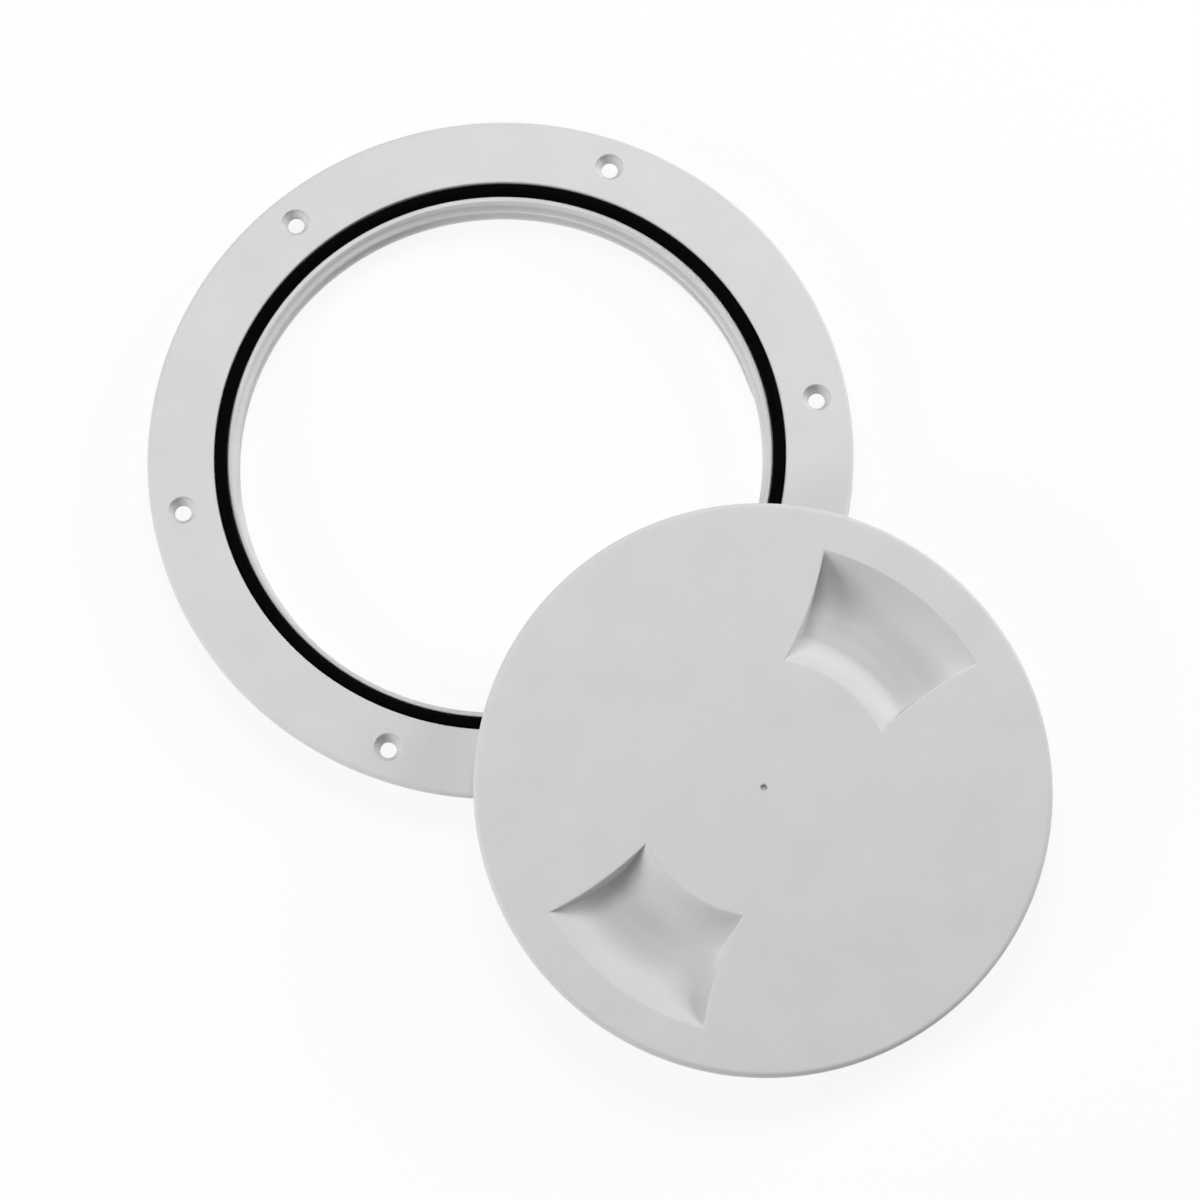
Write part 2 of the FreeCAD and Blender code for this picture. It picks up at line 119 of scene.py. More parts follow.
class MeshDraft:
    """Rows of points and the faces between them, in millimetres."""

    def __init__(self) -> None:
        """Start with no points."""
        self.points: list[tuple[float, float, float]] = []
        self.faces: list[tuple[int, ...]] = []
        self.openings: list[list[list[int]]] = []

    def row(self, points: Sequence[Sequence[float]]) -> list[int]:
        """Add a row of points and return their numbers."""
        first = len(self.points)
        self.points.extend(tuple(map(float, point)) for point in points)
        return list(range(first, len(self.points)))

    def strip(self, near: Sequence[int], far: Sequence[int], closed: bool = False) -> None:
        """Join two rows of equal length by a strip of four-sided faces."""
        last = len(near) if closed else len(near) - 1
        for here in range(last):
            after = (here + 1) % len(near)
            self.faces.append((near[here], near[after], far[after], far[here]))

    def sleeve(self, rows: Sequence[Sequence[int]]) -> None:
        """Join closed rows one after another."""
        for near, far in zip(rows, rows[1:]):
            self.strip(near, far, closed=True)

    def sheet(self, loops: list[list[int]]) -> None:
        """Fill the level area between closed rows that lie in one plane."""
        self.openings.append(loops)

    def mesh(self, name: str) -> bpy.types.Mesh:
        """Turn the draft into a closed mesh in metres, its faces pointing outwards.

        Args:
            name: The mesh's name.

        Returns:
            The mesh.
        """
        work = bmesh.new()
        corners = [work.verts.new(point) for point in self.points]
        for face in self.faces:
            work.faces.new([corners[place] for place in face])
        for loops in self.openings:
            edges = []
            for loop in loops:
                for here, after in zip(loop, loop[1:] + loop[:1]):
                    pair = (corners[here], corners[after])
                    edges.append(work.edges.get(pair) or work.edges.new(pair))
            bmesh.ops.triangle_fill(work, use_beauty=True, edges=edges, normal=(0, 0, 1))
        bmesh.ops.remove_doubles(work, verts=work.verts, dist=MERGE_DISTANCE)
        bmesh.ops.recalc_face_normals(work, faces=work.faces)
        bmesh.ops.scale(work, vec=(MM, MM, MM), verts=work.verts)
        mesh = bpy.data.meshes.new(name)
        work.to_mesh(mesh)
        work.free()
        return mesh


@dataclass(frozen=True)
class Corner:
    """One corner of a section in millimetres, and the radius that rounds it."""

    across: float
    up: float
    radius: float = 0.0


def rounded(corners: Sequence[Corner], closed: bool, step_deg: float = 15.0) -> list[tuple]:
    """Round the corners of a section with arcs.

    Args:
        corners: The corners in order.
        closed: Whether the last corner joins the first.
        step_deg: The largest turn between two points of an arc.

    Returns:
        The points of the rounded section.
    """
    points = []
    for index, corner in enumerate(corners):
        here = np.array((corner.across, corner.up))
        at_end = not closed and index in (0, len(corners) - 1)
        if corner.radius == 0.0 or at_end:
            points.append(tuple(here))
            continue
        before = corners[index - 1]
        after = corners[(index + 1) % len(corners)]
        back = np.array((before.across, before.up)) - here
        ahead = np.array((after.across, after.up)) - here
        back /= np.linalg.norm(back)
        ahead /= np.linalg.norm(ahead)
        half = math.acos(float(np.clip(back @ ahead, -1.0, 1.0))) / 2
        middle = here + (back + ahead) / np.linalg.norm(back + ahead) * corner.radius / math.sin(half)
        start = here + back * corner.radius / math.tan(half) - middle
        end = here + ahead * corner.radius / math.tan(half) - middle
        turn = math.pi - 2 * half
        steps = max(2, math.ceil(math.degrees(turn) / step_deg))
        for step in range(steps + 1):
            share = step / steps
            along = math.sin((1 - share) * turn) * start + math.sin(share * turn) * end
            points.append(tuple(middle + along / math.sin(turn)))
    return points


def turned(point: Sequence[float], angle: float) -> tuple[float, float, float]:
    """Turn a point of a section about the Z axis, to an angle in radians."""
    return point[0] * math.cos(angle), point[0] * math.sin(angle), point[1]


class Grain(Enum):
    """How the mould's surface was finished, as the width of its grain in millimetres.

    The real grains are about a tenth as wide, which is too fine to show from the camera, so they
    are drawn as coarse as they need to be.
    """

    SPARK_ERODED = 0.55
    LAPPED = 0.7


@dataclass(frozen=True)
class MouldedPlastic:
    """Injection-moulded ASA, a light grey plastic that stays pale in the sun.

    The spark-eroded mould gives it a fine satin grain, so its highlights are wide and dull. The
    pigment isn't quite even, which shows as faint clouds and speckles, and the gloss varies with
    the grain.
    """

    name: str
    pale: str
    deep: str
    grain: Grain = Grain.SPARK_ERODED
    roughness: float = 0.62
    ior: float = 1.52
    cloud_mm: float = 17.0
    speckle_mm: float = 0.9
    grain_height_mm: float = 0.05

    def material(self) -> bpy.types.Material:
        """Build the node material."""
        material = bpy.data.materials.new(self.name)
        material.use_nodes = True
        tree = material.node_tree
        tree.nodes.clear()
        place = add_node(tree, "ShaderNodeTexCoord").outputs["Object"]
        clouds = add_node(tree, "ShaderNodeTexNoise", inputs={
            "Vector": place, "Scale": 1 / (self.cloud_mm * MM), "Detail": 3.0})
        speckle = add_node(tree, "ShaderNodeTexNoise", inputs={
            "Vector": place, "Scale": 1 / (self.speckle_mm * MM), "Detail": 2.0})
        grain = add_node(tree, "ShaderNodeTexNoise", inputs={
            "Vector": place, "Scale": 1 / (self.grain.value * MM), "Detail": 2.0, "Roughness": 0.6})
        blend = add_node(tree, "ShaderNodeMath", {"operation": "MULTIPLY_ADD"}, {
            0: speckle.outputs["Fac"], 1: 0.45})
        tree.links.new(clouds.outputs["Fac"], blend.inputs[2])
        share = add_node(tree, "ShaderNodeMapRange", inputs={
            "Value": blend.outputs[0], "From Min": 0.45, "From Max": 1.0})
        colour = add_node(tree, "ShaderNodeMix", {"data_type": "RGBA"}, {
            "Factor": share.outputs["Result"]})
        colour.inputs["A"].default_value = linear(self.deep)
        colour.inputs["B"].default_value = linear(self.pale)
        gloss = add_node(tree, "ShaderNodeMapRange", inputs={
            "Value": grain.outputs["Fac"], "From Min": 0.3, "From Max": 0.7,
            "To Min": self.roughness - 0.05, "To Max": self.roughness + 0.05})
        relief = add_node(tree, "ShaderNodeBump", inputs={
            "Height": grain.outputs["Fac"], "Distance": self.grain_height_mm * MM, "Strength": 0.5})
        shader = add_node(tree, "ShaderNodeBsdfPrincipled", inputs={
            "Base Color": colour.outputs["Result"], "Roughness": gloss.outputs["Result"],
            "Normal": relief.outputs["Normal"], "IOR": self.ior})
        add_node(tree, "ShaderNodeOutputMaterial", inputs={"Surface": shader.outputs["BSDF"]})
        return material


@dataclass(frozen=True)
class SealRubber:
    """Black EPDM, a rubber moulded as a ring.

    It is dull and almost without highlights, with a slightly dusty skin.
    """

    name: str
    colour: str
    dusty: str
    roughness: float = 0.8
    ior: float = 1.5
    specular_level: float = 0.02
    grain: Grain = Grain.LAPPED
    grain_height_mm: float = 0.04

    def material(self) -> bpy.types.Material:
        """Build the node material."""
        material = bpy.data.materials.new(self.name)
        material.use_nodes = True
        tree = material.node_tree
        tree.nodes.clear()
        place = add_node(tree, "ShaderNodeTexCoord").outputs["Object"]
        skin = add_node(tree, "ShaderNodeTexNoise", inputs={
            "Vector": place, "Scale": 1 / (self.grain.value * MM), "Detail": 3.0})
        share = add_node(tree, "ShaderNodeMapRange", inputs={
            "Value": skin.outputs["Fac"], "From Min": 0.45, "From Max": 0.8})
        colour = add_node(tree, "ShaderNodeMix", {"data_type": "RGBA"}, {
            "Factor": share.outputs["Result"]})
        colour.inputs["A"].default_value = linear(self.colour)
        colour.inputs["B"].default_value = linear(self.dusty)
        relief = add_node(tree, "ShaderNodeBump", inputs={
            "Height": skin.outputs["Fac"], "Distance": self.grain_height_mm * MM, "Strength": 0.6})
        shader = add_node(tree, "ShaderNodeBsdfPrincipled", inputs={
            "Base Color": colour.outputs["Result"], "Roughness": self.roughness,
            "Normal": relief.outputs["Normal"], "IOR": self.ior,
            "Specular IOR Level": self.specular_level})
        add_node(tree, "ShaderNodeOutputMaterial", inputs={"Surface": shader.outputs["BSDF"]})
        return material


@dataclass(frozen=True)
class Thread:
    """One coarse ridge wound on a round wall, in millimetres.

    reach is how far its crest stands off the wall, outwards where it is above 0.
    """

    wall_radius: float
    reach: float
    start: float
    turns: float
    pitch: float = 6.0
    bite: float = 0.5
    root_half: float = 1.7
    crest_half: float = 0.9
    edge_round: float = 0.3
    lead: float = 12.0
    steps: int = 240

    def settings(self) -> dict[str, float | int]:
        """Give the tree's named inputs for this ridge, in metres where they are lengths."""
        inward = math.copysign(self.bite, -self.reach)
        return {
            "Wall radius": self.wall_radius * MM, "Root depth": inward * MM,
            "Crest reach": self.reach * MM, "Root half width": self.root_half * MM,
            "Crest half width": self.crest_half * MM, "Edge rounding": self.edge_round * MM,
            "Start height": self.start * MM, "Pitch": self.pitch * MM, "Turns": self.turns,
            "Lead length": self.lead * MM, "Steps per turn": self.steps,
        }


SOCKETS = {
    "Geometry": "NodeSocketGeometry", "Material": "NodeSocketMaterial", "Copies": "NodeSocketInt",
    "Steps per turn": "NodeSocketInt", "Round steps": "NodeSocketInt", "Turns": "NodeSocketFloat",
}


def new_tree(name: str, inputs: Sequence[str]) -> tuple[bpy.types.NodeTree, dict]:
    """Start a geometry tree with named inputs.

    Args:
        name: The tree's name.
        inputs: Names of its inputs, which are lengths unless SOCKETS says otherwise.

    Returns:
        The tree, and its inputs' sockets by name.
    """
    tree = bpy.data.node_groups.new(name, "GeometryNodeTree")
    for each in inputs:
        kind = SOCKETS.get(each, "NodeSocketFloat")
        tree.interface.new_socket(each, in_out="INPUT", socket_type=kind)
    tree.interface.new_socket("Geometry", in_out="OUTPUT", socket_type="NodeSocketGeometry")
    entry = add_node(tree, "NodeGroupInput")
    return tree, {each: entry.outputs[each] for each in inputs}


def end_tree(tree: bpy.types.NodeTree, shape: bpy.types.NodeSocket,
             material: bpy.types.NodeSocket) -> None:
    """Shade a tree's shape, keep its hard edges sharp, make it real and give it its material."""
    smooth = add_node(tree, "GeometryNodeSetShadeSmooth", inputs={"Geometry": shape})
    angle = add_node(tree, "GeometryNodeInputMeshEdgeAngle")
    hard = add_node(tree, "FunctionNodeCompare", {"operation": "GREATER_THAN"}, {
        0: angle.outputs["Unsigned Angle"], 1: SHARP_EDGE})
    edged = add_node(tree, "GeometryNodeSetShadeSmooth", {"domain": "EDGE"}, {
        "Geometry": smooth.outputs["Geometry"], "Selection": hard.outputs["Result"],
        "Shade Smooth": False})
    real = add_node(tree, "GeometryNodeRealizeInstances", inputs={
        "Geometry": edged.outputs["Geometry"]})
    dressed = add_node(tree, "GeometryNodeSetMaterial", inputs={
        "Geometry": real.outputs["Geometry"], "Material": material})
    add_node(tree, "NodeGroupOutput", inputs={"Geometry": dressed.outputs["Geometry"]})


def moulding_tree() -> bpy.types.NodeTree:
    """Build the tree that repeats a sector round the Z axis and winds a thread onto its wall.

    Returns:
        The tree.
    """
    tree, given = new_tree("threaded_moulding", [
        "Geometry", "Copies", "Merge distance", "Wall radius", "Root depth", "Crest reach",
        "Root half width", "Crest half width", "Edge rounding", "Start height", "Pitch", "Turns",
        "Lead length", "Steps per turn", "Material"])

    def math_node(operation: str, *terms: object) -> bpy.types.NodeSocket:
        """Add a sum, product or the like of sockets and numbers."""
        node = add_node(tree, "ShaderNodeMath", {"operation": operation}, dict(enumerate(terms)))
        return node.outputs[0]

    def place(**parts: object) -> bpy.types.NodeSocket:
        """Add a point or a turn from its named parts."""
        return add_node(tree, "ShaderNodeCombineXYZ", inputs=parts).outputs["Vector"]

    spots = add_node(tree, "GeometryNodePoints", inputs={"Count": given["Copies"]})
    number = add_node(tree, "GeometryNodeInputIndex")
    turn = math_node("DIVIDE", math_node("MULTIPLY", number.outputs["Index"], math.tau),
                     given["Copies"])
    copies = add_node(tree, "GeometryNodeInstanceOnPoints", inputs={
        "Points": spots.outputs[0], "Instance": given["Geometry"], "Rotation": place(Z=turn)})
    real = add_node(tree, "GeometryNodeRealizeInstances", inputs={
        "Geometry": copies.outputs["Instances"]})
    whole = add_node(tree, "GeometryNodeMergeByDistance", inputs={
        "Geometry": real.outputs["Geometry"], "Distance": given["Merge distance"]})

    spiral = add_node(tree, "GeometryNodeCurveSpiral", inputs={
        "Resolution": given["Steps per turn"], "Rotations": given["Turns"],
        "Start Radius": given["Wall radius"], "End Radius": given["Wall radius"],
        "Height": math_node("MULTIPLY", given["Pitch"], given["Turns"]), "Reverse": True})
    lifted = add_node(tree, "GeometryNodeTransform", inputs={
        "Geometry": spiral.outputs["Curve"], "Translation": place(Z=given["Start height"])})
    upright = add_node(tree, "GeometryNodeSetCurveNormal", {"mode": "Z_UP"}, {
        "Curve": lifted.outputs["Geometry"]})
    root = given["Root depth"]
    crest = given["Crest reach"]
    root_low = math_node("MULTIPLY", given["Root half width"], -1.0)
    crest_low = math_node("MULTIPLY", given["Crest half width"], -1.0)
    section = add_node(tree, "GeometryNodeCurvePrimitiveQuadrilateral", {"mode": "POINTS"}, {
        "Point 1": place(X=root, Y=given["Root half width"]),
        "Point 2": place(X=crest, Y=given["Crest half width"]),
        "Point 3": place(X=crest, Y=crest_low), "Point 4": place(X=root, Y=root_low)})
    softened = add_node(tree, "GeometryNodeFilletCurve", {"mode": "POLY"}, {
        "Curve": section.outputs["Curve"], "Radius": given["Edge rounding"], "Count": 3})
    run = add_node(tree, "GeometryNodeSplineParameter").outputs["Length"]
    length = add_node(tree, "GeometryNodeSplineLength").outputs["Length"]
    to_end = math_node("MINIMUM", run, math_node("SUBTRACT", length, run))
    swell = add_node(tree, "ShaderNodeMapRange", {"interpolation_type": "SMOOTHSTEP"}, {
        "Value": math_node("DIVIDE", to_end, given["Lead length"]), "To Min": LEAD_START})
    ridge = add_node(tree, "GeometryNodeCurveToMesh", inputs={
        "Curve": upright.outputs["Curve"], "Profile Curve": softened.outputs["Curve"],
        "Scale": swell.outputs["Result"], "Fill Caps": True})
    joined = add_node(tree, "GeometryNodeMeshBoolean", {"operation": "UNION", "solver": "EXACT"}, {
        "Mesh 2": whole.outputs["Geometry"]})
    tree.links.new(ridge.outputs["Mesh"], joined.inputs["Mesh 2"])
    end_tree(tree, joined.outputs["Mesh"], given["Material"])
    return tree


def cord_tree() -> bpy.types.NodeTree:
    """Build the tree that sweeps a round cord along a circle about the Z axis.

    Returns:
        The tree.
    """
    tree, given = new_tree("ring_of_cord", [
        "Geometry", "Middle radius", "Height", "Cord radius", "Steps per turn", "Round steps",
        "Material"])
    circle = add_node(tree, "GeometryNodeCurvePrimitiveCircle", inputs={
        "Resolution": given["Steps per turn"], "Radius": given["Middle radius"]})
    lift = add_node(tree, "ShaderNodeCombineXYZ", inputs={"Z": given["Height"]})
    lifted = add_node(tree, "GeometryNodeTransform", inputs={
        "Geometry": circle.outputs["Curve"], "Translation": lift.outputs["Vector"]})
    section = add_node(tree, "GeometryNodeCurvePrimitiveCircle", inputs={
        "Resolution": given["Round steps"], "Radius": given["Cord radius"]})
    cord = add_node(tree, "GeometryNodeCurveToMesh", inputs={
        "Curve": lifted.outputs["Geometry"], "Profile Curve": section.outputs["Curve"]})
    end_tree(tree, cord.outputs["Mesh"], given["Material"])
    return tree


def grow(name: str, mesh: bpy.types.Mesh, tree: bpy.types.NodeTree,
         settings: dict[str, object]) -> bpy.types.Object:
    """Run a geometry tree on a mesh and keep the result as a plain piece.

    Args:
        name: The piece's name.
        mesh: What the tree starts from.
        tree: The tree.
        settings: Values of the tree's inputs by name.

    Returns:
        The piece, with no modifier on it.
    """
    piece = bpy.data.objects.new(name, mesh)
    bpy.context.scene.collection.objects.link(piece)
    modifier = piece.modifiers.new("shape", "NODES")
    modifier.node_group = tree
    for item in tree.interface.items_tree:
        if item.in_out == "INPUT" and item.name in settings:
            modifier[item.identifier] = settings[item.name]
    weighted = piece.modifiers.new("shading", "WEIGHTED_NORMAL")
    weighted.keep_sharp = True
    weighted.weight = NORMAL_WEIGHT
    baked = bpy.data.meshes.new_from_object(piece.evaluated_get(
        bpy.context.evaluated_depsgraph_get()))
    piece.modifiers.clear()
    baked.name = name
    piece.data = baked
    log.info("%s: %d faces", name, len(baked.polygons))
    return piece


def settle(piece: bpy.types.Object, node: str) -> None:
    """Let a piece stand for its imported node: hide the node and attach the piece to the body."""
    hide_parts(node)
    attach(piece, BODY)


@dataclass(frozen=True)
class ScrewHole:
    """A countersunk hole in the flange, in millimetres, drawn as rows round its axis."""

    circle: float
    radius: float
    head_radius: float = 4.0
    land: float = 0.9
    rim_round: float = 0.2
    border: float = 6.2
    border_steps: int = 16
    rim_steps: int = 4
    face_steps: int = 8

    def half_angle(self) -> float:
        """Half the angle that the hole's patch of the flange takes."""
        return self.border / self.circle

    def radii(self) -> np.ndarray:
        """Radii of the rows of the flange that cross the patch."""
        return np.linspace(self.circle - self.border, self.circle + self.border,
                           self.border_steps + 1)

    def angles(self) -> np.ndarray:
        """Angles of the columns of the flange that cross the patch."""
        return np.linspace(-self.half_angle(), self.half_angle(), self.border_steps + 1)

    def frame_points(self) -> np.ndarray:
        """Places on the patch's border, once round, on the flange's rows and columns."""
        radii = self.radii()
        angles = self.angles()
        low = [(radii[0], angle) for angle in angles[:-1]]
        right = [(radius, angles[-1]) for radius in radii[:-1]]
        high = [(radii[-1], angle) for angle in angles[:0:-1]]
        left = [(radius, angles[0]) for radius in radii[:0:-1]]
        return np.array([(radius * math.cos(angle), radius * math.sin(angle))
                         for radius, angle in low + right + high + left])

    def draw(self, draft: MeshDraft, top_height: Callable[[float], float]) -> None:
        """Draw the patch: underside, bore, countersink, head seat with its rim, and top.

        Args:
            draft: The mesh that gets the faces.
            top_height: Gives the flange's height at a distance from its axis.
        """
        centre = np.array((self.circle, 0.0))
        border = self.frame_points()
        away = border - centre
        away /= np.linalg.norm(away, axis=1)[:, None]

        def at(distance: np.ndarray | float) -> np.ndarray:
            """Places at a distance from the hole's axis, one for each direction."""
            return centre + away * np.broadcast_to(distance, len(away))[:, None]

        def height(places: np.ndarray) -> np.ndarray:
            """The flange's height at each place."""
            return np.array([top_height(math.hypot(*place)) for place in places])

        rim = height(at(self.head_radius))
        rows = []
        for share in np.linspace(0.0, 1.0, self.face_steps + 1):
            spread = border + (at(self.radius) - border) * share
            rows.append((spread, np.zeros(len(away))))
        rows.append((at(self.radius), np.full(len(away), self.land)))
        seat = self.land + self.head_radius - self.radius
        rows.append((at(self.head_radius), np.full(len(away), seat)))
        for share in np.linspace(0.0, 1.0, self.rim_steps + 1):
            turn = share * math.pi / 2
            distance = self.head_radius + self.rim_round * (1 - math.cos(turn))
            rows.append((at(distance), rim - self.rim_round * (1 - math.sin(turn))))
        top = at(self.head_radius + self.rim_round)
        for share in np.linspace(0.0, 1.0, self.face_steps + 1)[1:]:
            spread = top + (border - top) * share
            rows.append((spread, height(spread)))
        draft.sleeve([draft.row(np.column_stack(row)) for row in rows])


@dataclass(frozen=True)
class DeckRing:
    """The flanged ring that is screwed to the deck, in millimetres."""

    flange_radius: float
    neck_depth: float
    hole: ScrewHole
    hole_count: int
    flange_width: float = 24.7
    edge_height: float = 3.2
    inner_height: float = 4.8
    edge_round: float = 1.4
    inner_round: float = 0.5
    neck_wall: float = 3.4
    neck_bevel: float = 0.6
    collar_width: float = 2.4
    collar_depth: float = 2.0
    lip_width: float = 1.5
    lip_height: float = 3.4
    lip_round: float = 0.4
    cord_radius: float = 1.75
    cord_side_gap: float = 0.2
    cord_floor_gap: float = 0.05
    moulded_round: float = 0.2
    thread_reach: float = 1.4
    thread_start: float = 2.5
    thread_turns: float = 1.5
    column_step_deg: float = 1.0

    @property
    def bore(self) -> float:
        """Inner radius of the neck."""
        return self.flange_radius - self.flange_width

    @property
    def seat(self) -> float:
        """Outer radius of the seal's groove."""
        return self.bore + self.lip_width + 2 * (self.cord_side_gap + self.cord_radius)

    def top_height(self, radius: float) -> float:
        """Height of the flange's sloping top at a distance from the axis."""
        share = (self.flange_radius - radius) / (self.flange_radius - self.seat)
        return self.edge_height + (self.inner_height - self.edge_height) * share

    def inner_section(self) -> list[tuple]:
        """Section from the holes' inner side over the groove, the lip and the neck."""
        near = self.hole.radii()[0]
        floor = self.inner_height - 2 * self.cord_radius - self.cord_floor_gap
        lip = self.bore + self.lip_width
        outer = self.bore + self.neck_wall
        small = self.moulded_round
        return rounded([
            Corner(near, self.top_height(near)),
            Corner(self.seat, self.inner_height, self.inner_round),
            Corner(self.seat, floor, small),
            Corner(lip, floor, small),
            Corner(lip, self.lip_height, self.lip_round),
            Corner(self.bore, self.lip_height, self.lip_round),
            Corner(self.bore, self.neck_bevel - self.neck_depth, small),
            Corner(self.bore + self.neck_bevel, -self.neck_depth, small),
            Corner(outer - self.neck_bevel, -self.neck_depth, small),
            Corner(outer, self.neck_bevel - self.neck_depth, small),
            Corner(outer, -self.collar_depth, small),
            Corner(outer + self.collar_width, 0.0, small),
            Corner(near, 0.0),
        ], closed=False)

    def outer_section(self) -> list[tuple]:
        """Section from the holes' outer side round the flange's edge."""
        far = self.hole.radii()[-1]
        return rounded([
            Corner(far, 0.0),
            Corner(self.flange_radius, 0.0, self.moulded_round),
            Corner(self.flange_radius, self.edge_height, self.edge_round),
            Corner(far, self.top_height(far)),
        ], closed=False)

    def sector(self) -> bpy.types.Mesh:
        """Draw the part of the ring that belongs to one screw hole."""
        draft = MeshDraft()
        radii = self.hole.radii()
        sections = [self.inner_section(), self.outer_section(),
                    [(radius, self.top_height(radius)) for radius in radii],
                    [(radius, 0.0) for radius in radii]]
        at_hole = self.hole.angles()
        edge = math.pi / self.hole_count
        plain = max(1, round(math.degrees(edge - at_hole[-1]) / self.column_step_deg))
        before = np.linspace(-edge, at_hole[0], plain + 1)[:-1]
        angles = [*before, *at_hole, *(-before[::-1])]
        columns = [[draft.row([turned(point, angle) for point in section]) for section in sections]
                   for angle in angles]
        for index, (near, far) in enumerate(zip(columns, columns[1:])):
            beside_hole = not plain <= index < plain + self.hole.border_steps
            for near_row, far_row in list(zip(near, far))[:4 if beside_hole else 2]:
                draft.strip(near_row, far_row)
        self.hole.draw(draft, self.top_height)
        return draft.mesh("ring_sector")

    def build(self, tree: bpy.types.NodeTree, plastic: bpy.types.Material) -> bpy.types.Object:
        """Make the ring and let it stand for its node.

        Args:
            tree: The tree that repeats the sector and winds the thread.
            plastic: The ring's material.

        Returns:
            The ring.
        """
        thread = Thread(wall_radius=self.bore, reach=-self.thread_reach,
                        start=self.thread_start - self.neck_depth, turns=self.thread_turns)
        piece = grow("deck_ring", self.sector(), tree, {
            "Copies": self.hole_count, "Merge distance": MERGE_DISTANCE * MM,
            "Material": plastic, **thread.settings()})
        settle(piece, "ring")
        return piece


@dataclass(frozen=True)
class RubberSeal:
    """The rubber cord ring in the groove, in millimetres."""

    ring: DeckRing
    steps: int = 360
    round_steps: int = 32

    def build(self, tree: bpy.types.NodeTree, rubber: bpy.types.Material) -> bpy.types.Object:
        """Make the seal and let it stand for its node.

        Args:
            tree: The tree that sweeps the cord.
            rubber: The seal's material.

        Returns:
            The seal.
        """
        ring = self.ring
        piece = grow("rubber_seal", bpy.data.meshes.new("cord"), tree, {
            "Middle radius": (ring.seat - ring.cord_side_gap - ring.cord_radius) * MM,
            "Height": (ring.inner_height - ring.cord_radius) * MM,
            "Cord radius": ring.cord_radius * MM, "Steps per turn": self.steps,
            "Round steps": self.round_steps, "Material": rubber})
        settle(piece, "seal")
        return piece


